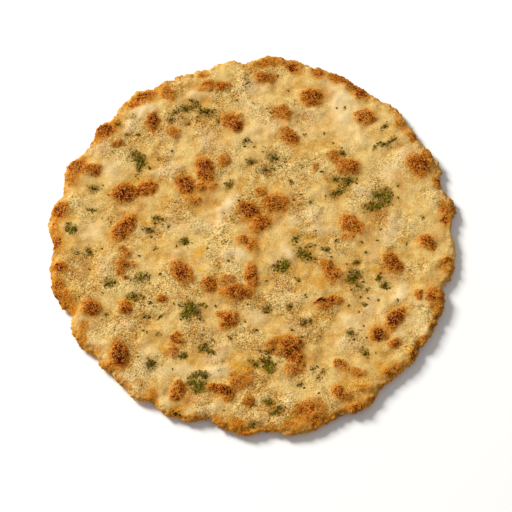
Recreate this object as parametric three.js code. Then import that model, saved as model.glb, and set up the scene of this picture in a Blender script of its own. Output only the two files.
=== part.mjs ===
// A rice flatbread: one thin, hand-patted disc, baked in one piece.
// Millimetres, +Z up. The origin is on the surface that the bread lies on, under the middle of its box.
import * as THREE from "three";

// Driving dimensions.
const RADIUS = 102.5; // mean radius of the disc
const THICKNESS = 4.8; // of the flat middle
const BEAD = 0.6; // how much thicker the rim is than the middle
const PATTED = 0.6; // height of the waves that patting by hand leaves on the top
const AROUND = 216; // steps round the disc

// The rim, walked once anticlockwise from +X: the crest of each lobe and the foot of each notch,
// as [angle in degrees, distance outside the mean radius].
const RIM = [
  [1.5, -0.3], [4.2, -2.5], [8, -1.4], [11, 1.8], [14, 2.6], [18, -0.7], [20.7, -2.0], [23.5, 1.2],
  [26.3, 2.7], [28.6, 1.4], [31, 2.3], [34, 1.7], [36.2, 0], [39, 2.1], [43.5, 1.9], [46, 3.9],
  [49, 3.9], [54, 1.3], [58, 2.3], [63.5, 1.9], [65.8, 4.0], [71.5, 2.4], [73.8, 3.8], [76.2, 2.4],
  [82, 4.1], [84.2, 3.4], [87.6, 5.4], [91, 2.5], [95.8, -0.6], [98.8, 1.8], [103, 0.8], [107, -2.5],
  [109, -1.3], [113, -2.5], [115.6, -1.3], [118.5, -2.2], [121.3, -1.0], [124.5, -3.0], [128.4, 0.6],
  [130.3, 0.6], [134.2, -1.4], [135.7, -0.1], [139, -2.8], [142.2, -3.8], [144.4, -1.1], [147.2, -1.2],
  [150, -4.1], [153.5, -4.9], [157.5, -2.8], [160.4, -0.1], [165, -0.9], [168.4, -3.4], [171.6, -3.7],
  [174, -0.6], [178, -0.2], [182, 0.3], [187.3, -3.3], [191, -2.0], [193.4, -0.4], [201, 0.8],
  [205.5, -0.5], [210.2, -4.3], [213, 0], [217, 0.5], [221, -0.2], [223.8, -2.8], [226.3, -0.5],
  [230.5, -1.4], [236, -0.3], [239.6, 1.2], [242.3, 0.3], [244.7, -2.3], [247.5, 0.1], [250, 1.1],
  [253, -0.4], [255.6, 0.9], [259, -1.9], [261.9, -4.3], [263.6, -0.9], [268, 1.2], [271.2, 2.8],
  [276, 0.1], [279.5, 1.2], [283.5, 3.6], [290, 3.7], [292.6, 1.6], [294.5, 1.8], [297.6, 0.6],
  [303.5, 3.5], [306, 2.7], [310.3, -0.9], [317, -0.7], [323, 0.5], [326.5, -1.4], [330, -0.2],
  [331.6, -1.1], [333.2, 0.3], [336.3, -1.3], [340.5, -0.2], [344, -2.0], [347, -4.2], [351.5, -0.5],
  [355.5, -0.3],
];

// The section, from the middle of the underside round the edge to the middle of the top:
// [share of the way out to the rim, share of the edge's height].
const EDGE_HEIGHT = THICKNESS + BEAD;
const MIDDLE = THICKNESS / EDGE_HEIGHT;
const SECTION = [
  [0, 0], [0.55, 0], [0.945, 0], [0.975, 0.08], [0.994, 0.3], [1, 0.55], [0.992, 0.8], [0.97, 0.95],
  [0.935, 1], [0.88, (1 + MIDDLE) / 2], [0.8, MIDDLE], [0.7, MIDDLE], [0.6, MIDDLE], [0.49, MIDDLE],
  [0.37, MIDDLE], [0.24, MIDDLE], [0.11, MIDDLE], [0, MIDDLE],
];
const UNDERSIDE_POINTS = 3; // the first points of the section, which stay flat

const degrees = (angle) => (angle * 180) / Math.PI;

// The rim's distance from the middle at any angle, on a smooth curve through the lobes and notches.
function rimCurve() {
  const points = RIM.map(([angle, out]) => new THREE.Vector3(angle, RADIUS + out, 0));
  const before = points.slice(-2).map((p) => new THREE.Vector3(p.x - 360, p.y, 0));
  const after = points.slice(0, 2).map((p) => new THREE.Vector3(p.x + 360, p.y, 0));
  const all = [...before, ...points, ...after];
  return (angle) => {
    const next = all.findIndex((p) => p.x > angle);
    const [a, b] = [all[next - 1], all[next]];
    const share = THREE.MathUtils.smoothstep(angle, a.x, b.x);
    return THREE.MathUtils.lerp(a.y, b.y, share);
  };
}

// Low, broad waves, gone at the rim: where fingers pressed the dough thinner or left it thicker.
function pattedHeight(x, y) {
  const u = x / RADIUS;
  const v = y / RADIUS;
  const waves =
    Math.sin(5.1 * u + 2.3 * v + 0.6) +
    Math.sin(-3.4 * u + 6.2 * v + 2.1) +
    0.8 * Math.sin(9.3 * u + 7.7 * v) +
    0.7 * Math.sin(11.8 * u - 8.9 * v + 1.4);
  const fade = 1 - THREE.MathUtils.smoothstep(Math.hypot(u, v), 0.72, 0.95);
  return (PATTED * fade * waves) / 2;
}

// The section is turned into a round disc, and each point is then moved out to the real rim.
function flatbreadGeometry() {
  const profile = SECTION.map(([out, up]) => new THREE.Vector2(out * RADIUS, up * EDGE_HEIGHT));
  const geometry = new THREE.LatheGeometry(profile, AROUND);
  geometry.rotateX(Math.PI / 2);
  const rimAt = rimCurve();
  const place = geometry.getAttribute("position");
  for (let i = 0; i < place.count; i++) {
    const [x, y, z] = [place.getX(i), place.getY(i), place.getZ(i)];
    const angle = (degrees(Math.atan2(y, x)) + 360) % 360;
    const stretch = rimAt(angle) / RADIUS;
    const onTop = i % profile.length >= UNDERSIDE_POINTS;
    const lift = onTop ? pattedHeight(x, y) : 0;
    place.setXYZ(i, x * stretch, y * stretch, z + lift);
  }
  geometry.computeBoundingBox();
  const middle = geometry.boundingBox.getCenter(new THREE.Vector3());
  geometry.translate(-middle.x, -middle.y, 0);
  geometry.computeVertexNormals();
  return geometry;
}

const bakedRiceDough = new THREE.MeshStandardMaterial({
  color: new THREE.Color(0xdcbf86),
  roughness: 0.85,
  metalness: 0,
});

const flatbread = new THREE.Mesh(flatbreadGeometry(), bakedRiceDough);
flatbread.name = "flatbread";

const object = new THREE.Group();
object.add(flatbread);

export default object;
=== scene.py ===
# %% [markdown]
# # A rice flatbread with chopped herbs
# The real thing is one patted disc of rice-flour dough, baked on a hot griddle. Its top is cream
# with toasted blisters, its rim is craggy and golden, and chopped herbs are baked into it.
# The frame brings the disc in its real size. Everything here is built round that disc, in metres.

# %% Load the frame
import math
import random

import bpy
import numpy as np
from mathutils import Matrix, Vector, noise
from mathutils.bvhtree import BVHTree


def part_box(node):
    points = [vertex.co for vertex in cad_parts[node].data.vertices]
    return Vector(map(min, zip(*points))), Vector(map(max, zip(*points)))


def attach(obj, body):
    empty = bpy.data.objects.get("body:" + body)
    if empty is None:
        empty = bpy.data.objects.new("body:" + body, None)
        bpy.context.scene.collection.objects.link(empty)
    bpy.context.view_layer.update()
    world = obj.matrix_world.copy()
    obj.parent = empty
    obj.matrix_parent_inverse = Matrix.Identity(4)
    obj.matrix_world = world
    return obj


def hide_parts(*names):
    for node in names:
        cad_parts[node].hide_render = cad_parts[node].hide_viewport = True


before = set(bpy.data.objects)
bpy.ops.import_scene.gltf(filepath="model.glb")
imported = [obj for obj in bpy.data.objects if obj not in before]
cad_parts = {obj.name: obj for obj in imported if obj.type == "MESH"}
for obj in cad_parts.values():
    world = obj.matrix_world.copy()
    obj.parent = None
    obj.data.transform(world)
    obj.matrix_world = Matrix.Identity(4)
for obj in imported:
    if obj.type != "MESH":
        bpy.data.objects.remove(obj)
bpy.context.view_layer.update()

MM = 0.001
disc_low, disc_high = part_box("flatbread")
print("disc in mm:", [round(side / MM, 1) for side in disc_high - disc_low])

# %% [markdown]
# ## The camera
# A plate of bread is looked at from the front and well above. A long lens from far away keeps the
# disc almost round, and a small roll gives the tilt of a camera that is held by hand.
# The camera is placed by its own three axes, because that is exact and needs no constraint.

# %% Camera
CAMERA_LENS = 100
CAMERA_RISE = math.radians(65)
CAMERA_ROLL = math.radians(3.5)
CAMERA_DISTANCE = 0.711
AIM = Vector((2.5, -10.7, 0)) * MM


def camera_place(rise, roll, distance, aim):
    """The matrix of a camera that looks at aim from the front, this far above the horizon."""
    back = Vector((0, -math.cos(rise), math.sin(rise)))
    level = Vector((1, 0, 0))
    up = back.cross(level)
    right = level * math.cos(roll) + up * math.sin(roll)
    turned_up = back.cross(right)
    place = Matrix((right, turned_up, back)).transposed().to_4x4()
    place.translation = aim + back * distance
    return place


camera = bpy.data.objects.new("camera", bpy.data.cameras.new("camera"))
bpy.context.collection.objects.link(camera)
camera.data.lens = CAMERA_LENS
camera.matrix_world = camera_place(CAMERA_RISE, CAMERA_ROLL, CAMERA_DISTANCE, AIM)
bpy.context.scene.camera = camera
print("camera in mm:", [round(c / MM) for c in camera.matrix_world.translation])

# %% [markdown]
# ## Floor and studio light
# The bread lies on a plain pale floor. One large soft light comes from the upper left, low enough
# to rake over the crumb and give each blister a lit side. A white world fills the shadows.
# The standard view transform keeps white white, as food is usually shown.

# %% Floor and light
FLOOR_SIZE = 6.0
FLOOR_DROP = 0.05 * MM
FLOOR_COLOUR = (0.96, 0.955, 0.945)
FLOOR_ROUGHNESS = 0.8
KEY_PLACE = Vector((-2.4, 1.56, 1.96))
KEY_SIZE = 1.1
KEY_POWER = 168
KEY_COLOUR = (1.0, 0.985, 0.96)
WORLD_STRENGTH = 0.36
WORLD_COLOUR = (1, 0.995, 0.985, 1)


def plain_finish(name, colour, roughness):
    """A material with one colour, for what isn't part of the bread."""
    material = bpy.data.materials.new(name)
    material.use_nodes = True
    shader = material.node_tree.nodes["Principled BSDF"]
    shader.inputs["Base Color"].default_value = (*colour, 1)
    shader.inputs["Roughness"].default_value = roughness
    return material


bpy.ops.mesh.primitive_plane_add(size=FLOOR_SIZE, location=(0, 0, -FLOOR_DROP))
floor = bpy.context.object
floor.name = "floor"
floor.data.materials.append(plain_finish("pale_floor", FLOOR_COLOUR, FLOOR_ROUGHNESS))

key = bpy.data.objects.new("key_light", bpy.data.lights.new("key_light", "AREA"))
bpy.context.collection.objects.link(key)
key.location = KEY_PLACE
key.rotation_mode = "QUATERNION"
key.rotation_quaternion = KEY_PLACE.to_track_quat("Z", "Y")
key.data.size = KEY_SIZE
key.data.energy = KEY_POWER
key.data.color = KEY_COLOUR

world = bpy.data.worlds.new("white_studio")
world.use_nodes = True
background = world.node_tree.nodes["Background"]
background.inputs["Color"].default_value = WORLD_COLOUR
background.inputs["Strength"].default_value = WORLD_STRENGTH
bpy.context.scene.world = world
bpy.context.scene.view_settings.view_transform = "Standard"
print("key light in mm:", [round(c / MM) for c in KEY_PLACE])

# %% [markdown]
# ## The dough as an even skin of small faces
# Patted dough has no flat facets, and detail can only be pushed into a mesh whose faces are small
# and all alike. A sculptor's remesh does that: it wraps the disc in an even grid.
# The disc is copied and its loose triangles are merged first. The grid is smoothed, and only the
# top and the rim are cut finer, because nobody looks for crumb on the side that touched the griddle.

# %% Helpers for one object at a time
def only(thing):
    """Deselect everything, then select this object and make it the active one."""
    bpy.ops.object.select_all(action="DESELECT")
    thing.select_set(True)
    bpy.context.view_layer.objects.active = thing


def finish_with(thing, kind, **settings):
    """Add a modifier with these settings and apply it at once."""
    only(thing)
    modifier = thing.modifiers.new(kind.lower(), kind)
    for name, value in settings.items():
        setattr(modifier, name, value)
    bpy.ops.object.modifier_apply(modifier=modifier.name)


def select_parts(thing, kind, wanted):
    """Go into edit mode with just the wanted faces (FACE) or vertices (VERT) selected."""
    only(thing)
    bpy.ops.object.mode_set(mode="EDIT")
    bpy.ops.mesh.select_mode(type=kind)
    bpy.ops.mesh.select_all(action="DESELECT")
    bpy.ops.object.mode_set(mode="OBJECT")
    parts = thing.data.polygons if kind == "FACE" else thing.data.vertices
    for part in parts:
        part.select = wanted(part)
    bpy.ops.object.mode_set(mode="EDIT")


def places_of(thing):
    """Every vertex of the object as rows of x, y and z, in metres."""
    places = np.empty(len(thing.data.vertices) * 3)
    thing.data.vertices.foreach_get("co", places)
    return places.reshape(-1, 3)


# %% Copy the disc, merge it and remesh it
GRID = 1.42 * MM
SAME_PLACE = 0.01 * MM
FINE_ABOVE = 0.9 * MM

bread = bpy.data.objects.new("patted_bread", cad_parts["flatbread"].data.copy())
bpy.context.collection.objects.link(bread)
bread.data.materials.clear()
only(bread)
bpy.ops.object.mode_set(mode="EDIT")
bpy.ops.mesh.select_all(action="SELECT")
bpy.ops.mesh.remove_doubles(threshold=SAME_PLACE)
bpy.ops.object.mode_set(mode="OBJECT")
finish_with(bread, "REMESH", mode="VOXEL", voxel_size=GRID)
finish_with(bread, "SMOOTH", factor=0.5, iterations=5)
print("faces after the remesh:", len(bread.data.polygons))

# %% Cut the top and the rim finer
select_parts(bread, "FACE", lambda face: face.center.z > FINE_ABOVE)
bpy.ops.mesh.subdivide(number_cuts=1)
bpy.ops.object.mode_set(mode="OBJECT")
finish_with(bread, "SMOOTH", factor=0.5, iterations=3)
print("faces after the finer cut:", len(bread.data.polygons))

# %% [markdown]
# ## Where the griddle browned it
# Dough blisters where steam lifts it, and the blisters touch the heat first and brown. Their places
# look random but have a rhythm, so they are listed one by one. Each row is one browned patch:
# its middle in mm, its half length and half width, its turn in degrees, and how dark it went.
# Blisters lift the dough. The patches on the rim only colour it.

# %% The browned blisters
BLISTERS = [
    # far left
    (-55, 59.8, 5.3, 2.8, 95, 0.95), (-48.5, 77.3, 6, 3.5, -50, 0.55),
    (-43.5, 54.2, 4, 3, -30, 0.52), (-71.5, 45.5, 3.5, 2, 10, 0.6),
    # far middle
    (-28.5, 83.4, 5, 3, 25, 0.58), (-20.5, 84.1, 4, 3, 0, 0.7), (1.5, 90.5, 5.2, 3.2, -10, 0.75),
    (26.5, 80.5, 5.5, 4.5, 30, 0.8), (11.8, 70, 5, 4, -30, 0.63), (15.8, 56.1, 6.2, 3.4, -50, 0.75),
    (-14, 62.8, 5.5, 4.5, -35, 0.75), (-12, 60.3, 3.4, 2.8, 0, 0.95), (-12, 66.3, 3.5, 2, 20, 0.35),
    (-16.5, 39.8, 3.4, 3.2, 90, 0.55), (29.8, 39.3, 2.5, 1.8, 80, 0.4),
    # far right
    (54.8, 70.8, 4.8, 4.3, 0, 0.75), (83, 44.2, 6.5, 5.2, -60, 0.85), (87.5, 49, 4.2, 3.2, -50, 0.56),
    (47, 40.4, 6, 4.5, -10, 0.72), (39.5, 45.8, 3.5, 3.5, 0, 0.46),
    # left
    (-83.5, 29.8, 4.5, 3.5, 0, 0.7), (-65.5, 17.6, 6.5, 4.5, 20, 0.97), (-55, 21.3, 6, 3.6, 25, 0.8),
    (-64, -1.6, 8.2, 3.8, 58, 0.87), (-63.5, -13.7, 2.2, 1.8, 0, 0.58), (-61, -16.2, 3, 2.3, 90, 0.5),
    (-63, -21.7, 3.3, 2.6, 0, 0.7), (-63.5, -25.7, 2, 2, 0, 0.6), (-61, -28.7, 1.8, 1.4, 0, 0.65),
    (-57.5, -21.7, 2.2, 2, 0, 0.4),
    # middle
    (-26, 33.3, 6.5, 3.8, -70, 0.95), (-35, 24.8, 5.5, 4.5, -50, 0.9), (-28, 24, 3.4, 3, 0, 0.64),
    (-22, 24, 3, 2.4, 0, 0.45), (-31, 16.8, 4, 2.4, -20, 0.52), (3, 22.8, 3, 2.5, 0, 0.6),
    (11, 16.8, 6.5, 5, 10, 0.72), (-2.5, 11.8, 5.5, 4.2, -30, 0.92), (4, 5.2, 5.6, 4.2, 50, 0.74),
    (-4.5, -4.7, 3.5, 2.2, -25, 0.75), (0.5, -7.6, 3.2, 2.4, -40, 0.68),
    (-33.5, -24.2, 6.8, 4.3, -60, 0.85),
    (-19, -29.8, 4.2, 4.4, 0, 0.75), (-11, -27.4, 4.4, 3.4, -20, 0.47), (-6, -33, 7.8, 3.8, 5, 0.75),
    (1, -23.8, 6.5, 3.2, 98, 0.75),
    # right
    (49.5, 7.6, 6.8, 4.6, -40, 0.7), (48, 1.3, 4, 3, 0, 0.42), (88, 0.3, 4.8, 3.5, -60, 0.84),
    (70.5, -12.3, 6, 3.8, -50, 0.82), (39.8, -19, 6, 4, -60, 0.72), (36, -25.7, 2.5, 5, 0, 0.2),
    (35.5, -35, 3.2, 1.1, 30, 1.4), (41.5, -34.2, 4.4, 2.4, 5, 0.72), (38, -37, 4.4, 1.8, 15, 0.55),
    (83, -28.7, 2.2, 2.2, 0, 0.68), (92, -28.7, 5, 4, -20, 0.7),
    # near left
    (-75.8, -46.4, 4.5, 4, -30, 0.74), (-75, -48.2, 2.2, 2, 0, 0.8), (-59, -45.6, 3.5, 2.6, 30, 0.8),
    (-60, -42.7, 3.8, 2.2, 0, 0.56), (-42, -39.2, 2.6, 2.3, 0, 0.7), (-60, -69.6, 7.2, 4.4, -75, 0.92),
    (-64, -75.7, 3.4, 2.4, 10, 0.56), (-33, -58.8, 3.6, 2.6, -30, 0.68),
    (-35.5, -65.2, 4.4, 3.4, -85, 0.45),
    (-49.5, -83.2, 3, 2.4, 0, 0.24), (-43, -89.7, 4, 2, 60, 0.5),
    # near middle
    (-9, -48.2, 4.8, 4.2, 50, 0.75), (-13.8, -45.7, 2, 1.8, 0, 0.55), (22.5, -61.2, 7, 4.5, -55, 0.82),
    (24.5, -58, 3.4, 2.6, 0, 0.74), (26.3, -66.7, 3.5, 2.2, -70, 0.8), (24, -71.5, 4.4, 3.4, 0, 0.5),
    (12, -60.7, 3.6, 2.2, 80, 0.6), (15.5, -56.7, 3.4, 2.6, 0, 0.36), (16, -62.2, 3, 3, 0, 0.35),
    (-12.5, -83, 4.6, 1.9, -5, 0.85), (-8, -84.2, 3.8, 2.6, -20, 1.0), (-7, -87.7, 2.6, 2, 0, 0.74),
    (-1, -79.4, 5.2, 3.6, 25, 0.5), (-4, -76.5, 3.4, 2, -30, 0.35), (2.6, -73.5, 3.6, 1.8, 80, 0.36),
    (-30.5, -85.2, 4, 3, 45, 0.8), (-31, -88.7, 2.8, 2, 0, 0.76), (3.6, -89, 3, 2.2, 65, 0.7),
    # near right
    (72, -42.6, 6.4, 3.6, 55, 0.92), (70.5, -44.7, 2.8, 2.2, 20, 1.1), (64.3, -50.6, 4, 3.6, -20, 0.98),
    (71.8, -55.4, 2.8, 2.2, 20, 0.7), (47, -67.8, 4.6, 2.4, -35, 0.6), (54, -70.8, 4.6, 2.2, -10, 0.52),
    (45.5, -82, 3.6, 2.8, -60, 0.7), (49.5, -83.7, 2.4, 2, 0, 0.64), (58, -78.7, 4, 2, 0, 0.4),
    (32, -92.5, 7.4, 5.4, 30, 0.56), (32, -89.5, 4.4, 3, 0, 0.62),
]
print("blisters:", len(BLISTERS))

# %% The toasted stretches of the rim
TOASTED_RIM = [
    # far side, from the left
    (-79.5, 53, 7, 4.4, 50, 0.82), (-67, 69.5, 3.8, 3, 35, 0.7), (-61, 74.5, 6.5, 3.8, 35, 0.84),
    (-31, 90.5, 3, 2.2, 0, 0.55), (2, 100.5, 7, 3, 20, 0.6), (6, 101, 4, 2.8, 0, 0.56),
    (15.8, 97.6, 4.2, 2.6, -40, 0.9), (15, 99.5, 5.5, 2.4, -5, 0.58), (29.5, 95.5, 4.2, 3.4, -70, 0.68),
    (41, 92.5, 6, 3.2, -20, 0.76), (47.3, 88.5, 4.2, 2.8, -35, 0.76), (52, 85, 4.6, 3.4, -45, 0.93),
    (73, 72, 2.6, 1.6, -60, 0.35), (73.5, 67.5, 3.5, 2.5, -60, 0.6), (79.5, 60.5, 4, 2.8, -40, 0.62),
    (91, 40, 5, 3.5, 90, 0.2),
    # right, going nearer
    (92, 35, 3, 2.4, 90, 0.8), (100, 21, 3.6, 2.6, 90, 0.66), (97, 17.5, 6, 3.5, 100, 0.6),
    (97, 13, 2.8, 2.4, 0, 0.86), (98, -9, 3, 1.6, 10, 0.88), (97, -12, 4.5, 4, 0, 0.5),
    (100, -14, 3.6, 2.6, 90, 0.64), (93, -34, 4, 4, 0, 0.55), (93.5, -39, 4, 2.6, 70, 0.58),
    (91.5, -45, 2.8, 2.6, 0, 0.6), (87, -52, 4.2, 2.4, 50, 0.44), (83.5, -56, 3.2, 2, 50, 0.8),
    (81, -60.5, 3.2, 2.2, 80, 0.75), (77, -65, 3.2, 2.2, 40, 0.3), (73, -68, 4, 2.5, 45, 0.6),
    (70, -71, 3.2, 2.2, -20, 0.66), (67, -77, 3.2, 1.8, 40, 0.5), (62, -84.5, 2.8, 2.4, 0, 0.6),
    (55, -89, 5.4, 2.8, 15, 0.68), (46.5, -92, 4.4, 2, 30, 0.5), (40, -96, 3.4, 2.4, 0, 0.55),
    (36, -96, 5, 4, 30, 0.55), (24, -100.5, 5, 2.4, 5, 0.6), (13, -102.5, 6, 2, 5, 0.5),
    # left, going nearer
    (-91.5, 30.5, 5.2, 4.8, 0, 0.8), (-93.5, 24, 4, 3.6, 90, 0.55), (-97.5, 5, 4.8, 4, 90, 0.86),
    (-98.5, -3, 6, 2.6, 90, 0.52), (-97, -12, 4.4, 3.2, 90, 0.8), (-94, -25.5, 4.3, 3, -10, 0.75),
    (-94, -36, 4.6, 4.4, 0, 0.66), (-91.5, -41, 4.6, 4.4, 0, 0.66), (-87, -44, 4, 3.4, 0, 0.42),
    (-87, -47, 4.6, 2.8, -35, 0.54), (-79, -57, 4.4, 2.4, 80, 0.36), (-79.5, -63, 4.4, 3, -50, 0.5),
    (-73, -68, 5, 2.6, 10, 0.32), (-65.5, -77, 4, 2.4, -30, 0.5), (-57, -83.5, 5, 1.8, -40, 0.34),
    (-43, -92, 3.8, 2.6, 60, 0.5), (-31, -97.5, 3.8, 2.6, 60, 0.48), (-23, -99.5, 6, 2.6, 5, 0.54),
    (-9, -101, 5, 2.8, -35, 0.52), (0, -102, 6, 3, -30, 0.66),
]
print("toasted stretches of rim:", len(TOASTED_RIM))

# %% [markdown]
# ## Where the dough stayed pale, tanned or turned gold
# A few smooth ridges stood proud of the griddle's heat and kept the colour of raw rice dough.
# Round some blisters the dough tanned softly, and the tanned rows also paint shade: below and
# beside blisters, in dents, and along the near edge where it slopes away. A few places have a
# clear yellow cast, from oil that pooled there. Some broad places stayed smooth, with hardly any
# grain, where the dough was wetter.
# All four lists have rows like those above.

# %% Pale, tanned, golden and smooth places
PALE = [
    (-15, 11, 13, 4, 65, 0.9), (-6, -12, 7, 3, -20, 0.8), (18, -10, 6, 3, -60, 0.8),
    (42, 75, 22, 8, -75, 0.9), (34, 90, 6, 4, -20, 0.4), (-62, 66, 7, 4, 55, 1.0),
    (-5, 84, 10, 6, 30, 0.8), (75, 50, 6, 3.5, 50, 0.7), (75, -27, 8, 4, 60, 0.8),
    (-75, 33, 8, 4, 40, 0.7), (-14, -66, 8, 3.5, 55, 0.7), (-13, -75, 8, 3.5, 10, 0.8),
    (-28, -75, 8, 3.5, -10, 0.7), (-14, -94, 6, 3, 0, 0.5), (21, -86, 6, 3, -65, 0.2),
    (60, -36, 8, 5, 80, 0.7), (52, -45, 9, 6, 0, 0.7), (82, -43, 6, 4, 60, 0.7),
    (75, -49, 5, 3, 30, 0.6), (-79, -53, 4, 3, 20, 0.8), (-45, 33, 9, 4, 30, 0.6),
    (30, 12, 10, 5, 20, 0.5), (70, 8, 9, 5, 60, 0.5), (-80, -5, 8, 5, 60, 0.6),
    (5, -45, 7, 5, 0, 0.6), (-68, 56, 7, 4, 50, 0.7),
    (-80, 43, 7, 5, 50, 0.7), (-70, 28, 7, 4, 0, 0.5), (-26, 51, 8, 6, 90, 0.6),
    (0, 60, 22, 9, 10, 0.4), (68, 39, 8, 5, 30, 0.6),
    (-72, -23, 8, 4, 80, 0.4), (-60, -54, 6, 4, 20, 0.6), (-38, 1, 6, 4, 0, 0.7),
    (-37, -14, 5, 3, 0, 0.6), (22, 9, 7, 5, 40, 0.5), (-46, -66, 6, 4, 0, 0.4),
    (-37, -77, 6, 4, 0, 0.4), (22, -50, 8, 4, 0, 0.5), (50, -57, 10, 4, 0, 0.5),
    (29, 70, 14, 6, 0, 0.5), (24, 60, 8, 6, 0, 0.4), (-5, 74, 8, 7, 0, 0.6),
    (-57, 66, 3.4, 6, 0, 0.9), (-34, 77.5, 5, 4, 0, 0.6), (-18, 45, 4, 5, 0, 0.5),
    (-24, 3, 5, 7, -20, 0.6), (71, 6, 4, 9, -20, 0.9), (62, -6, 5, 6, 0, 0.5),
    (13, -14, 6, 5, 0, 0.5), (32, 4, 11, 4, 0, 0.5), (-48, -76, 5, 9, 10, 0.5),
    (84, -32, 5, 4, 0, 0.5), (55, 27, 4.4, 4.4, 0, 0.8), (-12, -14, 5, 4, 0, 0.7),
    (-38, -22, 4, 8, 0, 0.3), (20, -35, 7, 4, 0, 0.4), (-55, -3, 5, 4, 0, 0.7),
    (50, 72, 4, 8, 0, 0.8), (-44, 42, 6, 5, 0, 0.3), (64, -38, 5, 5, 0, 0.3),
    (-10, -20, 4, 3, 0, 0.6),
    (48, 62, 12, 8, -60, 0.5), (-72, -65, 9, 4.5, -48, 0.4), (-56, -81, 10, 4.5, -40, 0.45),
    (-37, -90.5, 5, 4, 0, 0.4), (-20, -96, 7, 3.5, 0, 0.35), (86, -48, 6, 4, 60, 0.5),
]
# Tanned patches, partly real tan and partly painted shade beside blisters, in dents and at the near
# edge.
TANNED_AND_SHADED = [
    (-47, 57, 9, 6, 30, 0.7), (-58, 12, 6, 4, -30, 0.7), (-64, 5, 5, 4, 0, 0.9),
    (-63, -19, 9, 4, 90, 0.8), (-84, -26, 9, 6, 90, 0.4), (-77, -57, 6, 5, 40, 0.7),
    (-24, 22, 10, 6, 80, 0.8), (-19, 37, 5, 4, 0, 0.5), (2, 3, 9, 6, 20, 0.8),
    (1, -5, 7, 5, 70, 1.0), (-8, -37, 14, 5, 0, 0.6), (21, 24, 6, 5, 0, 0.4),
    (-28, 78, 6, 4, -50, 0.4), (3, 86, 7, 4, 0, 0.5), (-7, 86, 3, 6, 0, 0.3),
    (12, 66, 7, 4, 0, 0.6), (62, 14, 8, 6, 30, 0.6), (73, 55, 5, 6, 60, 0.6),
    (67, -18, 8, 4, -20, 0.8), (56, -73, 10, 4, -10, 0.6), (70, -60, 5, 4, 40, 0.4),
    (-13, -63, 4, 4, 0, 0.6), (-22, -55, 14, 6, 0, 0.4), (-24, -88, 8, 6, 0, 0.8),
    (-9, -86, 8, 4, -20, 0.8), (0, -99, 12, 4, 0, 0.6), (14, -93, 6, 4, 0, 0.6),
    (22, -73, 9, 5, 0, 0.6), (55, -84, 8, 4, 30, 0.8), (32, -94, 10, 6, 25, 0.8),
    (-2, -75, 7, 5, 20, 0.7), (-44, -88, 8, 4, 30, 0.5), (90, -25, 8, 5, 90, 0.5),
    (38, -38, 7, 4, 0, 0.5), (-90, 27, 5, 7, 20, 0.5), (74, 32, 4, 8, 0, 0.7),
    (-39, 60, 7, 6, 0, 0.7), (-71, 54, 4, 4, 0, 0.7), (-4, 7, 6, 4, 0, 1.0),
    (57, 5, 7, 5, 0, 0.6), (-72, -54, 5, 4, 0, 0.5), (-26, -17, 4, 7, -20, 0.5),
    (30, -67, 7, 6, 0, 0.6), (27, -51, 4.4, 4, 0, 0.6), (-26, -90, 6, 5, 0, 0.8),
    (36, 83, 4, 4, 0, 0.7), (-24, -45, 8, 5, 0, 0.5), (48, -20, 6, 6, 0, 0.3),
    (95, 5, 5, 5, 0, 0.5), (12, 8, 6, 5, 20, 0.6), (-20, 15, 4, 3, 0, 0.6),
    (0, 42, 5, 5, 0, 0.4), (15, -27, 8, 4, -10, 0.6), (-29, 38, 5, 4, 60, 0.9),
    (-58, 16, 8, 4, 0, 0.4), (-20, -67, 5, 4, 0, 0.6), (-35, -37, 5, 3, 0, 0.5),
]
GOLDEN = [
    (34.5, 51.5, 2, 1.4, 0, 0.8), (53, 61.5, 2.6, 1.6, 90, 0.3), (68, 74.5, 2.2, 1.8, 0, 1.0),
    (-45, 15, 3.6, 3, 90, 0.7), (75, 1, 3.6, 3, 0, 0.7), (-25.5, -12.5, 4.6, 2, 50, 1.0),
    (-24, -22, 2, 1.6, 0, 0.7), (-10, -20, 2, 1.6, 0, 0.2), (-4, -24, 2, 1.6, 0, 0.6),
    (27, -1, 3.2, 2, 0, 0.5), (20.5, 1, 2.2, 1.3, 0, 0.7), (65, -8, 3, 2, -50, 0.9),
    (62, -16, 3, 2.4, 0, 0.8), (36, -25, 5.5, 2.6, 90, 0.6), (-61, -42.5, 3, 1.6, 0, 1.0),
    (-57.5, -40.5, 2.2, 1.8, 0, 1.0), (-40, -64.5, 1.8, 1.4, 0, 0.9),
    (-2, -72, 5, 4, 20, 0.8), (-6, -79, 3, 2, 0, 0.7), (26, -94, 6, 3, 50, 0.8),
    (37, -43, 4, 3, 0, 0.6), (79, -58, 3.4, 2.4, 60, 1.0), (66, -67, 4, 3, 0, 0.6),
    (41, -95.5, 3, 2, 0, 0.9), (55, -78, 10, 6, 20, 0.5), (-88, -40, 6, 5, 0, 0.8),
    (-78, 45, 5, 3, 30, 0.2), (-58, 25, 6, 4, 30, 0.5), (15.5, -58, 4, 4, 0, 0.7),
]
SMOOTH = [
    (50, 66, 26, 13, -50, 0.9), (-80, 16, 9, 16, 0, 0.7), (71, -48, 16, 10, 50, 0.8),
    (-18, 14, 6, 14, -20, 0.9), (-56, 70, 12, 7, 50, 0.8), (84, 14, 8, 14, 0, 0.8),
    (-20, -76, 20, 6, 0, 0.7), (62, 0, 10, 10, 0, 0.6), (20, -8, 14, 8, 0, 0.6),
]
print("pale, tanned, golden, smooth places:", len(PALE), len(TANNED_AND_SHADED), len(GOLDEN), len(SMOOTH))

# %% [markdown]
# ## The chopped herbs
# Herbs were chopped and kneaded in, so they show as loose clusters of small dark green bits, half
# sunk in the dough, with single specks between them. The clusters are rows like the ones above,
# the last number being how thick the bits lie. A speck has only its middle, radius and strength.

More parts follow.
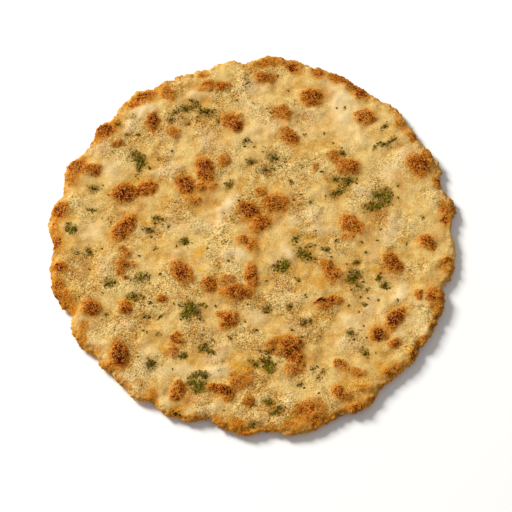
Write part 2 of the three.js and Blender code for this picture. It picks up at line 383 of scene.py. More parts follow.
# %% Where the herbs lie
HERBS = [
    # far left
    (-72.7, 57, 1.7, 1.7, 0, 0.9), (-62.5, 51.8, 1.5, 1.2, 0, 0.6), (-67.5, 51.2, 1.3, 1.2, 0, 0.5),
    (-60, 37.8, 5, 2.4, -45, 0.95), (-59.5, 33, 4, 1.6, 90, 0.8), (-46, 61.5, 2, 1.5, 0, 0.6),
    (-44.5, 66, 3.6, 2, 45, 0.5), (-38.5, 68.8, 3.6, 2.2, 0, 0.75), (-37, 74.5, 1.8, 1.2, 0, 0.42),
    (-34, 71, 3.6, 2.5, 0, 0.65), (-28.5, 67.8, 4.6, 2.5, -10, 0.7), (-65.5, 62.5, 2.6, 1.4, 80, 0.2),
    (-31, 63.5, 3, 1.4, 0, 0.2), (-40, 63, 3, 1.5, 0, 0.3),
    # far middle
    (-7.5, 86.5, 5, 2.6, 100, 0.4), (-4, 52, 1, 1, 0, 0.3), (-6.5, 52, 2.2, 1.3, 70, 0.7),
    (-21.3, 62.8, 1.7, 1, 90, 0.8), (-3, 40, 2.6, 1.6, 0, 0.75), (8.5, 43.5, 5, 3, -35, 0.56),
    (5, 36, 5, 2.6, 20, 0.5), (6, 70, 3, 1.8, 80, 0.3), (-12.2, 76, 1.6, 1, 0, 0.5),
    # far right
    (65.2, 65.5, 2.4, 1.2, 55, 0.7), (60, 53, 1.8, 0.9, 50, 0.8), (65, 55, 3, 2, 0, 0.75),
    (69, 57.5, 2.5, 1.5, 45, 0.75), (43.5, 48, 1.4, 1.3, 0, 0.85),
    # left
    (-81, 19, 3, 2.3, 40, 0.7), (-81, 7, 2.6, 1.5, 0, 0.62), (-90, -5, 3, 2, -30, 0.95),
    (-71, 1, 2, 1, 90, 0.3), (-48.5, 4.5, 2.4, 1.8, 0, 0.66), (-52, -2, 2.6, 1.3, -20, 0.8),
    (-47, -12.5, 1.5, 1, 0, 0.5), (-85.5, -17.5, 3, 1.8, 0, 0.42), (-80, -16.5, 2.5, 1.4, -45, 0.75),
    (-68.3, -32.5, 2.8, 2, 0, 0.75), (-53, -28.5, 4, 2.3, 25, 0.75), (-43.5, -26, 1.5, 1, 0, 0.45),
    (-56, -39, 2.6, 2.3, 0, 0.7), (-51.5, -39, 1.8, 1.5, 0, 0.65), (-47.5, -41.5, 4, 2.4, 0, 0.28),
    # middle
    (-12.8, 25.5, 2.6, 1.6, 45, 0.85), (-10, 6.5, 2, 1.2, -45, 0.5), (18, 30, 1.6, 1, -50, 0.6),
    (28.5, 18.5, 1.5, 0.9, 40, 0.5), (22, -2.5, 2.6, 1.8, 40, 0.6), (26.5, -11, 4.5, 2.6, -30, 0.8),
    (29, -6.5, 2.5, 1.3, 40, 0.6), (-33.3, -7.3, 2.6, 2, 0, 0.85), (16, -18, 3.2, 2.7, 90, 1.0),
    (24, -25, 1.7, 1.2, -45, 0.9), (-13.5, -6, 2, 1.2, 0, 0.3),
    # right
    (40.5, 33, 2.6, 1.8, 30, 0.8), (46.5, 31.5, 3.6, 2.3, 20, 0.85), (42, 25.6, 4.8, 2.6, 40, 0.65),
    (62, 25, 4.4, 3.2, 0, 0.7), (67, 25, 4, 2.5, 90, 1.0), (61, 18.5, 5, 2, 15, 1.0),
    (64, -20.5, 1.8, 1.2, 90, 0.9), (66.5, -24.5, 2.2, 1.7, 0, 1.0), (52.5, -13, 1.9, 1.4, 30, 0.75),
    (51, -21, 3.6, 2.4, 60, 0.9), (53, -26, 3, 2, 60, 0.45), (58, -27.5, 1.6, 1, 45, 0.42),
    (57, -35.5, 1.5, 1, 0, 0.75), (42, -1.5, 1.6, 0.8, 60, 0.5), (37, -7.5, 1.8, 1.5, 0, 0.8),
    # near left
    (-44.5, -73.5, 3, 3, 0, 0.6), (-44, -72.5, 1.6, 1.3, 0, 1.0), (-68.5, -49, 1.4, 1, 0, 0.45),
    (-50, -49.2, 2.8, 1, 0, 0.42), (-42.5, -48.5, 2.2, 0.4, 45, 0.8), (-43, -57.5, 1.5, 1.3, 0, 0.4),
    (-29.3, -67.8, 1.7, 1.7, 0, 1.0), (-31, -97, 2.4, 2, 0, 0.65),
    # near middle
    (-27.5, -43, 3, 2.8, 0, 1.0), (-29.8, -46.4, 2.8, 2, 30, 1.0), (-24.5, -45.3, 2.2, 1.4, -40, 0.7),
    (-33, -42, 2.2, 1.2, 0, 0.45), (-22.5, -41, 2.2, 1.4, -20, 0.65), (-23, -48.5, 1.6, 1.6, 0, 0.36),
    (10, -40.5, 1.8, 2.8, 20, 0.55), (20.5, -38.8, 1.6, 1.3, 0, 0.75), (27.8, -47.5, 1.7, 1.2, 60, 0.65),
    (30.8, -46, 1.4, 1, -40, 0.85), (4.8, -52.5, 1.4, 1.2, 0, 0.65), (22, -51.3, 1.3, 0.8, -20, 0.65),
    (-19.5, -63, 3.2, 2.2, -30, 0.75), (-16, -65, 1.8, 1, -30, 1.0), (-7.5, -57.5, 1.2, 0.9, -40, 0.5),
    (11, -63.5, 2.4, 1, 0, 0.7), (7, -63, 1.3, 1.5, 0, 0.38), (2.7, -68, 1.4, 1.3, 0, 0.4),
    (6, -70, 2.7, 1.8, 0, 0.75), (10, -68, 2.6, 1.8, 0, 0.8), (12.5, -71.5, 2.8, 2.2, 90, 1.0),
    (-23.5, -78, 2.8, 1.8, 20, 0.8), (-19, -77, 2.6, 1.6, 0, 1.0), (-19.3, -81.3, 2.6, 2, 80, 0.85),
    (-20.5, -84, 2.8, 2, 0, 1.0), (-24.5, -81, 2.2, 1.6, 0, 1.0), (-11.2, -73.8, 1.3, 0.4, 30, 0.3),
    (13, -89, 1.8, 1.4, 0, 1.0), (17.5, -91.8, 2.6, 2, 45, 0.65), (15.5, -94.5, 2.2, 1.5, 30, 0.75),
    (5.5, -100.5, 2, 1.4, 40, 0.7), (27, -78.8, 1.7, 1.1, 20, 0.75), (33, -71, 1.4, 2.2, 0, 0.45),
    # near right
    (51, -51.5, 2.3, 1.7, -20, 0.75), (58, -61, 2, 1.5, -50, 0.75), (38, -71.5, 2, 1.2, 60, 0.42),
    (36, -75, 1.6, 1, 0, 0.35), (55.5, -49, 1, 0.7, 0, 0.4),
]
SPECKS = [
    # far side
    (-54, 33, 1.1, 0.8), (-44.2, 43.3, 1.1, 0.6), (-50.5, 38, 0.9, 0.5), (-37, 60, 1.2, 0.6),
    (-23.5, 69.5, 1.2, 0.6), (8.5, 92.7, 1, 0.7), (-4, 74.8, 0.9, 0.6), (14, 83.5, 0.8, 0.6),
    (-1.8, 48.7, 0.8, 0.7), (24, 57.7, 1, 0.7), (34, 58.8, 0.9, 0.6), (33.5, 36.8, 1.2, 0.7),
    (43.8, 75.6, 0.9, 1), (40, 74.8, 0.6, 0.7), (43.2, 51.2, 0.8, 1), (38.5, 54, 0.9, 0.6),
    (-15.5, 27, 0.8, 0.8), (19.5, 19.5, 0.8, 0.7), (23.5, 23, 0.9, 0.6), (35.5, 23, 0.5, 0.4),
    (56, 19, 1, 0.8), (72.5, 31, 1, 0.7), (73, 24.5, 0.8, 0.7), (85, 14, 1.1, 0.7),
    # across the middle
    (-74, 16, 0.8, 0.6), (-45, 1, 0.6, 0.7), (-42, 0.5, 0.9, 0.7), (-54.8, -2.3, 0.6, 0.9),
    (-50, -6, 0.9, 0.7), (-55, -17, 0.9, 0.6), (-37.5, -10.5, 0.8, 0.7), (-79, -25.5, 0.9, 0.6),
    (-74, -14, 0.7, 0.6), (-49, -31, 0.9, 0.6), (-8, 17, 0.8, 0.7), (8, 4.5, 0.8, 0.7),
    (-14.5, 10, 0.5, 0.7), (31, 2.5, 1.1, 0.7), (28, -33, 1, 0.7), (8.5, -26, 0.7, 0.7),
    (11.5, -17.5, 0.9, 0.6), (-11, -16.5, 0.8, 0.5), (-22, -10.5, 0.8, 0.6), (64, 5.5, 0.6, 0.8),
    (62, -0.5, 1, 0.7), (55, -1.5, 0.8, 0.7), (57, -7.5, 1, 0.7), (40, -11, 0.8, 0.6),
    (77, -1, 1.2, 0.7), (47.5, -14.5, 0.8, 0.7), (55, -21, 0.8, 0.7), (56, -23, 0.7, 0.8),
    (50, -28, 0.8, 0.6), (69, -26, 0.7, 0.7), (63.8, -32.7, 0.6, 0.7), (73.2, -32, 1, 0.7),
    (58.7, -32, 0.5, 0.8), (55, -31.5, 0.5, 0.7),
    # near side
    (-71, -38.5, 0.9, 0.5), (-47.8, -49, 0.9, 1), (-53.5, -49.5, 0.8, 0.6), (-50, -56.5, 1.1, 0.7),
    (-47.8, -57, 0.6, 0.7), (-63.5, -57, 0.8, 0.5), (-51, -70, 1.1, 0.5), (-36, -41, 0.8, 0.6),
    (-15.7, -41, 0.6, 0.9), (-0.5, -39.5, 0.8, 0.7), (-1.2, -48, 0.6, 0.8), (-3.3, -49.3, 0.5, 0.6),
    (27, -54.8, 1, 0.6), (-16, -58.5, 0.8, 0.5), (-34, -75, 0.5, 0.3), (12, -66, 0.8, 0.6),
    (13, -97.5, 1, 0.4), (-8, -94, 0.8, 0.4), (30, -80.5, 0.8, 0.5), (35, -69.5, 0.6, 0.9),
    (49, -36.5, 0.7, 0.6), (54.5, -39.5, 0.6, 0.5), (52, -54.5, 0.8, 0.6), (57, -47, 0.6, 0.5),
    (58.3, -53.3, 0.5, 0.7), (36, -53.5, 0.7, 0.5), (63, -61, 0.5, 0.5), (36, -83, 0.7, 0.4),
]
print("herb clusters:", len(HERBS), " specks:", len(SPECKS))

# %% [markdown]
# ## Painting by place
# A person would paint these patches with a weight brush. Here a short function does the painting:
# for every vertex it finds how deep inside each patch it lies, and keeps the strongest value.
# The places are first shaken a little with smooth noise, so no patch keeps a clean oval outline.
# That noise gets a fixed seed, because it would otherwise be another one each time.

# %% Shake the places, and paint patches on them
SHAKE_SIZE = 4.5 * MM
SHAKE = 1.5 * MM
FINE_SHAKE_SIZE = 1.6 * MM
FINE_SHAKE = 0.7 * MM
SHAKE_SEED = 7
noise.seed_set(SHAKE_SEED)


def shaken(places):
    """The places moved about by smooth noise, in mm, as columns x and y."""
    moved = np.empty((len(places), 2))
    for i, place in enumerate(places):
        point = Vector(place)
        push = noise.noise_vector(point / SHAKE_SIZE) * SHAKE
        push += noise.noise_vector(point / FINE_SHAKE_SIZE) * FINE_SHAKE
        moved[i] = (point + push).xy
    return moved / MM


def painted(columns, patches, solid=0.55, gone=1.3):
    """For every vertex, the strongest patch over it: full inside solid, nothing beyond gone."""
    result = np.zeros(len(columns))
    for x, y, half_length, half_width, turn, strength in patches:
        away = columns - (x, y)
        cosine, sine = math.cos(math.radians(turn)), math.sin(math.radians(turn))
        along = (away[:, 0] * cosine + away[:, 1] * sine) / half_length
        across = (away[:, 1] * cosine - away[:, 0] * sine) / half_width
        share = np.clip((gone - np.hypot(along, across)) / (gone - solid), 0, 1)
        result = np.maximum(result, strength * share * share * (3 - 2 * share))
    return result


def smooth_step(value, low, high):
    """0 below low, 1 above high, and an even S curve between."""
    share = np.clip((value - low) / (high - low), 0, 1)
    return share * share * (3 - 2 * share)


def distance_to_rim(places, spokes=900):
    """How far each vertex is from the rim, in mm, measured along its own spoke."""
    angle = np.arctan2(places[:, 1], places[:, 0])
    out = np.hypot(places[:, 0], places[:, 1])
    spoke = ((angle / math.tau + 0.5) * spokes).astype(int) % spokes
    reach = np.zeros(spokes)
    np.maximum.at(reach, spoke, out)
    return (reach[spoke] - out) / MM


# %% Find the top, the rim, the blisters and the grainy patches
TOP_BEGINS, TOP_IS_FULL = 1.2 * MM, 2.8 * MM
RIM_WIDTH = 6.5
GRAINY_PATCH_SIZE = 13 * MM

places = places_of(bread)
columns = shaken(places)
on_top = smooth_step(places[:, 2], TOP_BEGINS, TOP_IS_FULL)
near_rim = 1 - smooth_step(distance_to_rim(places), 1.0, RIM_WIDTH)
blistered = painted(columns, BLISTERS, solid=0.3, gone=1.45) * on_top
pale = painted(columns, PALE, solid=0.3, gone=1.3) * on_top
smooth = painted(columns, SMOOTH, solid=0.4, gone=1.4)
patchy = np.array([noise.noise(Vector(place) / GRAINY_PATCH_SIZE) for place in places])
granular = smooth_step(patchy, -0.25, 0.35) * (1 - smooth)
lifted = float((blistered > 0.1).mean())
print("share of the vertices that a blister lifts:", round(lifted, 3))

# %% [markdown]
# ## Pushing the dough about
# Displace modifiers do what hands, steam and heat did, one after the other. Each has its own
# texture and, through a vertex group, its own part of the bread. Lumps and crumb come first, and
# how far they rose is kept, because shade is painted darker into the dough's hollows. Then come
# the broad pats, the pale ridges, the lift of the blisters, the crags and small teeth of the rim,
# and the crust.

# %% Helpers for displacing
def paint_group(thing, name, weights):
    """A vertex group that holds these weights, as if painted."""
    group = thing.vertex_groups.new(name=name)
    for i, weight in enumerate(weights):
        if weight > 0:
            group.add([i], float(weight), "REPLACE")


def cloud(name, size, depth):
    """A soft random texture whose lumps are about this size, with more detail at more depth."""
    texture = bpy.data.textures.new(name, "CLOUDS")
    texture.noise_scale = size
    texture.noise_depth = depth
    texture.noise_basis = "IMPROVED_PERLIN"
    return texture


def push(thing, pushes):
    """Apply one Displace modifier for each row."""
    for name, group, direction, strength, middle, texture in pushes:
        finish_with(thing, "DISPLACE", vertex_group=group, direction=direction, strength=strength,
                    mid_level=middle, texture=texture, texture_coords="LOCAL")
        high = places_of(thing)[:, 2].max()
        print(f"{name}: highest point now at {high / MM:.2f} mm")


# %% Displace the dough
paint_group(bread, "inner_top", on_top * (1 - near_rim))
paint_group(bread, "top", on_top)
paint_group(bread, "rim", near_rim * smooth_step(places[:, 2], 0.2 * MM, 1.5 * MM))
paint_group(bread, "blisters", np.minimum(blistered * 1.2, 1))
paint_group(bread, "crumb", on_top * (1 - 0.8 * pale) * (0.3 + 0.7 * granular))
paint_group(bread, "ridges", pale)

# Each row: name, vertex group, direction, how far, which grey stays put, and the texture.
SMALL_PUSHES = [
    ("lumps", "top", "Z", 2.1 * MM, 0.5, cloud("lumps", 7 * MM, 1)),
    ("crumb", "crumb", "NORMAL", 0.8 * MM, 0.5, cloud("crumb", 1.5 * MM, 1)),
]
LARGE_PUSHES = [
    ("pats", "inner_top", "Z", 1.3 * MM, 0.5, cloud("pats", 15 * MM, 0)),
    ("ridges", "ridges", "Z", 0.4 * MM, 0, None),
    ("blisters", "blisters", "Z", 1.3 * MM, 0, None),
    ("crags", "rim", "NORMAL", 2.4 * MM, 0.5, cloud("crags", 3.2 * MM, 2)),
    ("teeth", "rim", "NORMAL", 2.2 * MM, 0.5, cloud("teeth", 2.0 * MM, 1)),
    ("crust", "blisters", "NORMAL", 0.32 * MM, 0.5, cloud("crust", 1.3 * MM, 1)),
]

push(bread, SMALL_PUSHES)
risen = (places_of(bread) - places)[:, 2] / MM
push(bread, LARGE_PUSHES)
print("lumps and crumb rise or sink by", [round(float(v), 2) for v in (risen.min(), risen.max())])

# %% [markdown]
# ## What the finish has to know
# The finish reads the painted patches as point attributes, which travel with the mesh.
# The outer edge of the bread is toasted a little everywhere, because it is thin and gets air, and
# its very brink is darker still, partly toast and partly painted shade.
# Herbs leave a green stain round them, and the underside gets marks from the griddle.

# %% Store the painted patches as attributes
def store(thing, name, values):
    """Keep one number per vertex under this name."""
    attribute = thing.data.attributes.new(name, "FLOAT", "POINT")
    attribute.data.foreach_set("value", values.astype(np.float32))


EDGE_WIDTH = 10.0
BRINK_WIDTH = 2.4
SPECK_STAIN = 0.6

places = places_of(bread)
inward = distance_to_rim(places)
toast = painted(columns, BLISTERS, solid=0.5, gone=1.54) * on_top
rim_toast = painted(columns, TOASTED_RIM, solid=0.4, gone=1.6)
rim_toast *= smooth_step(places[:, 2], 0.0, 1.0 * MM)
glow = painted(columns, BLISTERS, solid=0.6, gone=2.3) * on_top
rim_glow = painted(columns, TOASTED_RIM, solid=0.6, gone=2.3)
store(bread, "toast", np.maximum(toast, rim_toast))
store(bread, "glow", np.maximum(glow, rim_glow))
store(bread, "pale", pale)
store(bread, "tan", painted(columns, TANNED_AND_SHADED, solid=0.0, gone=1.5) * on_top)
store(bread, "gold", painted(columns, GOLDEN, solid=0.3, gone=1.6) * on_top)
store(bread, "edge", 1 - smooth_step(inward, 0.0, EDGE_WIDTH))
# The brink: a narrow darker band at the rim, partly toast and partly painted shade.
store(bread, "brink", 1 - smooth_step(inward, 0.0, BRINK_WIDTH))
store(bread, "risen", risen)
store(bread, "granular", granular)
speck_patches = [(x, y, radius, radius, 0, strength * SPECK_STAIN)
                 for x, y, radius, strength in SPECKS]
stain = painted(columns, HERBS + speck_patches, solid=0.3, gone=2.2) * on_top
store(bread, "herb_stain", stain)
store(bread, "underside", 1 - smooth_step(places[:, 2], 0.3 * MM, 1.6 * MM))
only(bread)
bpy.ops.object.shade_smooth()
print("vertices of the bread:", len(bread.data.vertices))

# %% [markdown]
# ## Modelling the chopped herbs
# Three shapes are enough: a folded chip of leaf, a ruffled leaf tip with lobes, and a bit of
# stalk. Each is modelled once in millimetres, with very few faces, and then copied many times.
# Every copy gets its own size, turn, tilt and shade of green, and lies where a ray from above
# meets the dough, sunk in by about half. In the end all copies are joined to one piece.

# %% Model the three bits of herb
def leaf_chip():
    """A small chip of leaf, folded along its middle, with its corners cut off."""
    bpy.ops.mesh.primitive_grid_add(x_subdivisions=3, y_subdivisions=2, size=1)
    chip = bpy.context.object
    chip.name = "leaf_chip"
    select_parts(chip, "VERT", lambda point: abs(point.co.x) > 0.4 and abs(point.co.y) > 0.4)
    bpy.ops.transform.resize(value=(0.6, 0.55, 1))
    bpy.ops.object.mode_set(mode="OBJECT")
    select_parts(chip, "VERT", lambda point: abs(point.co.y) > 0.2)
    bpy.ops.transform.translate(value=(0, 0, 0.22))
    bpy.ops.object.mode_set(mode="OBJECT")
    select_parts(chip, "VERT", lambda point: point.co.x > 0.4)
    bpy.ops.transform.translate(value=(-0.08, 0.12, -0.12))
    bpy.ops.object.mode_set(mode="OBJECT")
    finish_with(chip, "SOLIDIFY", thickness=0.16, offset=0)
    return chip


def leaf_tip():
    """A ruffled tip of leaf: a fan whose points go in and out, and up and down."""
    corners = 12
    bpy.ops.mesh.primitive_circle_add(vertices=corners, radius=0.6, fill_type="TRIFAN")
    tip = bpy.context.object
    tip.name = "leaf_tip"

    def step_of(co):
        return round(math.atan2(co.y, co.x) / math.tau * corners) % 4 if co.length > 0.1 else -1

    for step, size, lift in ((1, 0.62, -0.05), (3, 0.7, 0.02), (0, 1.0, 0.2), (2, 1.15, 0.1)):
        select_parts(tip, "VERT", lambda point: step_of(point.co) == step)
        bpy.ops.transform.resize(value=(size, size, 1))
        bpy.ops.transform.translate(value=(0, 0, lift))
        bpy.ops.object.mode_set(mode="OBJECT")
    finish_with(tip, "SOLIDIFY", thickness=0.14, offset=0)
    return tip


def stalk_bit():
    """A short piece of stalk, bent a little in the middle."""
    bpy.ops.mesh.primitive_cylinder_add(vertices=5, radius=0.13, depth=0.7)
    stalk = bpy.context.object
    stalk.name = "stalk_bit"
    select_parts(stalk, "FACE", lambda face: face.center.z > 0.3)
    bpy.ops.mesh.extrude_region_move(TRANSFORM_OT_translate={"value": (0.14, 0.05, 0.5)})
    bpy.ops.transform.resize(value=(0.7, 0.7, 1))
    bpy.ops.object.mode_set(mode="OBJECT")
    stalk.data.transform(Matrix.Rotation(math.radians(90), 4, "Y"))
    return stalk


HERB_SHAPES = [leaf_chip(), leaf_tip(), stalk_bit()]
print("faces of the herb bits:", [len(shape.data.polygons) for shape in HERB_SHAPES])

# %% Lay one bit of herb on the dough
BITS_PER_MM2 = 2.9
RAY_START = 20
STEEPEST = 0.5
LEAN = 0.3
RAISE = 0.02
STALK_SHARE = 0.08
CHIP, TIP, STALK = range(3)
chance = random.Random(11)
skin = BVHTree.FromObject(bread, bpy.context.evaluated_depsgraph_get())
herb_bits = []


def surface_at(x, y):
    """Where a ray from above meets the dough, and which way the dough faces there."""
    place, facing, _, _ = skin.ray_cast(Vector((x, y, RAY_START)) * MM, Vector((0, 0, -1)))
    return place, facing


def lay_bit(x, y, size, kind, green):
    """Copy one bit of herb on to the dough at x and y, this many mm across."""
    place, facing = surface_at(x, y)
    if place is None or facing.z < STEEPEST:
        return
    bit = bpy.data.objects.new("herb_bit", HERB_SHAPES[kind].data.copy())
    bpy.context.collection.objects.link(bit)
    lean = Vector((chance.gauss(0, LEAN), chance.gauss(0, LEAN), 0))
    lie = (facing + lean).to_track_quat("Z", "Y").to_matrix().to_4x4()
    turn = Matrix.Rotation(chance.uniform(0, math.tau), 4, "Z")
    scale = Matrix.Diagonal((size * MM, size * MM * chance.uniform(0.6, 1), size * MM, 1))
    up = Matrix.Translation(place + facing * size * MM * RAISE)
    bit.data.transform(up @ lie @ turn @ scale)
    store(bit, "green", np.full(len(bit.data.vertices), green))
    herb_bits.append(bit)


# %% Lay the clusters and the specks
for x, y, half_length, half_width, turn, strength in HERBS:
    count = math.ceil(math.pi * half_length * half_width * BITS_PER_MM2 * strength)
    around = Matrix.Rotation(math.radians(turn), 2)
    for _ in range(count):
        far = min(abs(chance.gauss(0, 0.75)), 1.7)
        way = chance.uniform(0, math.tau)
        off = around @ Vector((far * half_length * math.cos(way), far * half_width * math.sin(way)))
        kind = TIP if chance.random() < strength - 0.5 else CHIP
        kind = STALK if chance.random() < STALK_SHARE else kind
        size = chance.uniform(0.7, 1.3) if kind == TIP else chance.uniform(0.4, 0.8)
        green = min(1, max(0, chance.gauss(strength - 0.45, 0.4)))
        lay_bit(x + off.x, y + off.y, size, kind, green)
for x, y, radius, strength in SPECKS:
    for _ in range(1 + round(radius * strength * 4)):
        off = Vector((chance.gauss(0, 0.4), chance.gauss(0, 0.4))) * radius
        lay_bit(x + off.x, y + off.y, chance.uniform(0.6, 0.95), CHIP, chance.uniform(0, 0.6))
print("bits of herb:", len(herb_bits))

# %% Join the bits to one piece
for shape in HERB_SHAPES:
    bpy.data.objects.remove(shape)
bpy.ops.object.select_all(action="DESELECT")
for bit in herb_bits:
    bit.select_set(True)
bpy.context.view_layer.objects.active = herb_bits[0]
bpy.ops.object.join()
herbs = bpy.context.object
herbs.name = "chopped_herbs"
bpy.ops.object.shade_smooth()
print("faces of the chopped herbs:", len(herbs.data.polygons))

# %% [markdown]
# ## Writing a finish as sums
# A node tree is a sum drawn with boxes. One small class wraps a socket, so that plain Python
# signs add the Math nodes. One method adds every other kind of node: it takes the node's type,
# its settings, and what its sockets hold, which can be a value or another node's output.

# %% A number in a finish
class Number:
    """A socket that can be added, multiplied and so on, each time adding a Math node."""

    def __init__(self, finish, socket):
        self.finish = finish
        self.socket = socket

    def math(self, operation, first, second):
        return self.finish.node("Math", {"operation": operation}, {0: first, 1: second})

    def __add__(self, other):
        return self.math("ADD", self, other)

    def __radd__(self, other):
        return self.math("ADD", other, self)

    def __sub__(self, other):
        return self.math("SUBTRACT", self, other)

    def __rsub__(self, other):
        return self.math("SUBTRACT", other, self)

    def __mul__(self, other):
        return self.math("MULTIPLY", self, other)

    def __rmul__(self, other):
        return self.math("MULTIPLY", other, self)

    def __pow__(self, other):
        return self.math("POWER", self, other)

    def above(self, low, high):
        """0 below low, 1 above high, and an S curve between."""
        return self.finish.node("MapRange", {"interpolation_type": "SMOOTHSTEP"},
                                {"Value": self, "From Min": low, "From Max": high})


# %% A finish
class Finish:
    """One material and its node tree."""

    def __init__(self, name):
        self.material = bpy.data.materials.new(name)
        self.material.use_nodes = True
        self.tree = self.material.node_tree
        self.shader = self.tree.nodes["Principled BSDF"]
        self.place = self.node("TexCoord", output="Object")

    def node(self, kind, settings=None, sockets=None, output=0):
        """Add a node, set it up, feed its sockets and hand back one output."""
        made = self.tree.nodes.new("ShaderNode" + kind)
        for name, value in (settings or {}).items():
            if name == "stops":
                self.set_stops(made.color_ramp, value)
            else:
                setattr(made, name, value)
        for name, value in (sockets or {}).items():
            self.feed(made.inputs[name], value)
        return Number(self, made.outputs[output])

    def set_stops(self, ramp, stops):
        """Give a colour ramp these stops, each a place and a colour."""
        while len(ramp.elements) < len(stops):
            ramp.elements.new(1)
        for element, (place, colour) in zip(ramp.elements, stops):
            element.position = place
            element.color = (*colour, 1)

    def feed(self, socket, value):
        """Link an output to the socket, or set a plain value on it."""
        if isinstance(value, Number):
            self.tree.links.new(value.socket, socket)
        elif isinstance(value, tuple) and len(value) == 3 and socket.type == "RGBA":
            socket.default_value = (*value, 1)
        else:
            socket.default_value = value

    def set(self, **values):
        """Feed the shader's own sockets, named with _ for a space."""
        for name, value in values.items():
            self.feed(self.shader.inputs[name.replace("_", " ")], value)

    def grain(self, size, detail=2, roughness=0.5, curl=0):
        """Smooth noise around 0.5, with lumps of about this size in mm, curled if asked."""
        sockets = {"Vector": self.place, "Scale": 1 / (size * MM), "Detail": detail,
                   "Roughness": roughness, "Distortion": curl}
        return self.node("TexNoise", {}, sockets)

    def cells(self, size, output="Distance"):
        """Distance to the middle of the nearest cell, for cells of about this size in mm."""
        sockets = {"Vector": self.place, "Scale": 1 / (size * MM)}
        return self.node("TexVoronoi", {}, sockets, output)

    def grains(self, size):
        """A value from 0 to 1 for each cell, for cells of about this size in mm."""
        return self.node("SeparateColor", {}, {"Color": self.cells(size, "Color")})

    def painted(self, name):
        """A painted patch, read back from its attribute."""
        return self.node("Attribute", {"attribute_name": name}, output="Fac")

    def mix(self, first, second, share):
        """The first colour, going over to the second as share rises to 1."""
        return self.node("Mix", {"data_type": "RGBA"}, {0: share, 6: first, 7: second}, output=2)


# %% A colour
def shade(red, green, blue):
    """A colour picked on the screen, 0 to 255, as the light that the finish needs."""
    def light(c):
        c = c / 255
        return c / 12.92 if c <= 0.04045 else ((c + 0.055) / 1.055) ** 2.4
    return (light(red), light(green), light(blue))


# %% [markdown]
# ## The colours of the baked dough
# Rice dough bakes to a warm cream, mottled in soft patches a few mm to a few cm across. Browning
# goes through gold, orange and red-brown to nearly black, so it is a ramp over how hot it got.

# %% The colours of the baked dough
CREAM = shade(221, 186, 113)
BUTTER = shade(203, 154, 73)
MILK = shade(236, 208, 154)
HAZE = shade(180, 124, 48)
TAN_AND_SHADE = shade(174, 112, 38)
GOLD = shade(212, 150, 24)
DUSK = shade(188, 130, 50)
CRUST = shade(198, 124, 28)
BRINK_TOAST_AND_SHADE = shade(158, 94, 20)
OLIVE = shade(158, 110, 14)
SCORCHED = shade(140, 96, 26)
RICE = shade(255, 234, 186)
DARK_HERB = shade(60, 48, 0)
GRAIN_HIGHLIGHT = shade(240, 170, 70)
FRIED = shade(212, 136, 26)
BROWNING = [
    (0.0, shade(212, 160, 76)), (0.25, shade(202, 134, 38)), (0.45, shade(184, 104, 12)),
    (0.65, shade(156, 72, 4)), (0.85, shade(106, 36, 2)), (1.0, shade(64, 12, 0)),
]
print("stops of the browning:", len(BROWNING))

# %% [markdown]
# ## What all parts of the dough's finish share
# The painted patches are read back, and a few noises are made only once, so a dark grain is the
# same grain in every part of the finish and in the bump. Tiny cells are single grains of flour.

# %% The patches and noises of the dough
class BakedDough(Finish):
    """The finish of the whole bread, begun with the patches and noises that its parts share."""

    def __init__(self):
        super().__init__("baked_rice_dough")
        self.toast, self.pale = self.painted("toast"), self.painted("pale")
        self.granular, self.stain = self.painted("granular"), self.painted("herb_stain")
        self.edge = self.painted("edge") * (1 - self.pale * 0.6)
        # Painted shade: how far the dough sank, used to make its hollows darker.
        self.hollow_shade = 1 - self.painted("risen").above(-0.4, 0.45)
        self.middling = self.grain(4.5, 3).above(0.35, 0.65)
        self.fine = self.grain(0.9, 2, 0.6, 0.6)
        self.wisps = self.grain(1.7, 2, 0.5, 2.2).above(0.35, 0.65)
        self.tiny = self.grains(0.48)
        self.grainy = (self.granular * 0.62 + 0.32) * (1 - self.pale * 0.7)


# %% [markdown]
# ## The soft colours of the dough
# The crumb is cream on its lumps, with painted shade in its hollows. Over it lie the pale ridges,
# the tanned places, which hold painted shade too, the golden places, a dusky glow round each
# blister, and a golden crust along the rim, darker at its very brink with toast and painted shade.

# %% The soft colours of the dough
def soft_colours(f):
    """Cream dough with its mottling and painted shade in its hollows, its painted places and its golden
    edge.
    """
    broad = f.grain(20, 2).above(0.36, 0.64)
    stretches = f.grain(7, 2)
    # The mottling is random, and also darker in the hollows as painted shade.
    mottle_and_hollow_shade = broad * 0.5 + f.middling * 0.5 + f.hollow_shade * 0.4 - 0.3
    hazy = broad * 0.7 + f.middling * 0.5 + f.granular * 0.5 - 0.9
    crusty = f.edge * 0.7 + (stretches - 0.5) * 3 * f.edge
    dough = f.mix(CREAM, BUTTER, mottle_and_hollow_shade.above(0, 1))
    dough = f.mix(dough, HAZE, hazy.above(0, 1) * 0.6)
    # The pale places are less pale in the hollows, which is painted shade.
    dough = f.mix(dough, MILK, f.pale * (1 - f.hollow_shade * 0.5))
    # Tan and painted shade: the tanned places, darker beside blisters, in dents and along the near edge.
    dough = f.mix(dough, TAN_AND_SHADE, f.painted("tan") * (f.middling * 0.3 + 0.8))
    dough = f.mix(dough, GOLD, f.painted("gold") * 0.7)
    dough = f.mix(dough, DUSK, f.painted("glow").above(0.0, 1.0) * 0.7)
    dough = f.mix(dough, CRUST, crusty.above(0.1, 1.0) * 0.5)
    # Toast and painted shade: a darker brown in stretches along the very brink.
    return f.mix(dough, BRINK_TOAST_AND_SHADE, f.painted("brink") * stretches.above(0.4, 0.65) * 0.6)


# %% [markdown]
# ## The grains and specks of the dough
# Single grains of flour are lighter, others are scorched, and chopped herb leaves olive dashes and
# a stain round it. At last each grain makes the colour under it darker or lighter. The pale and
# the smooth places have less of all this.

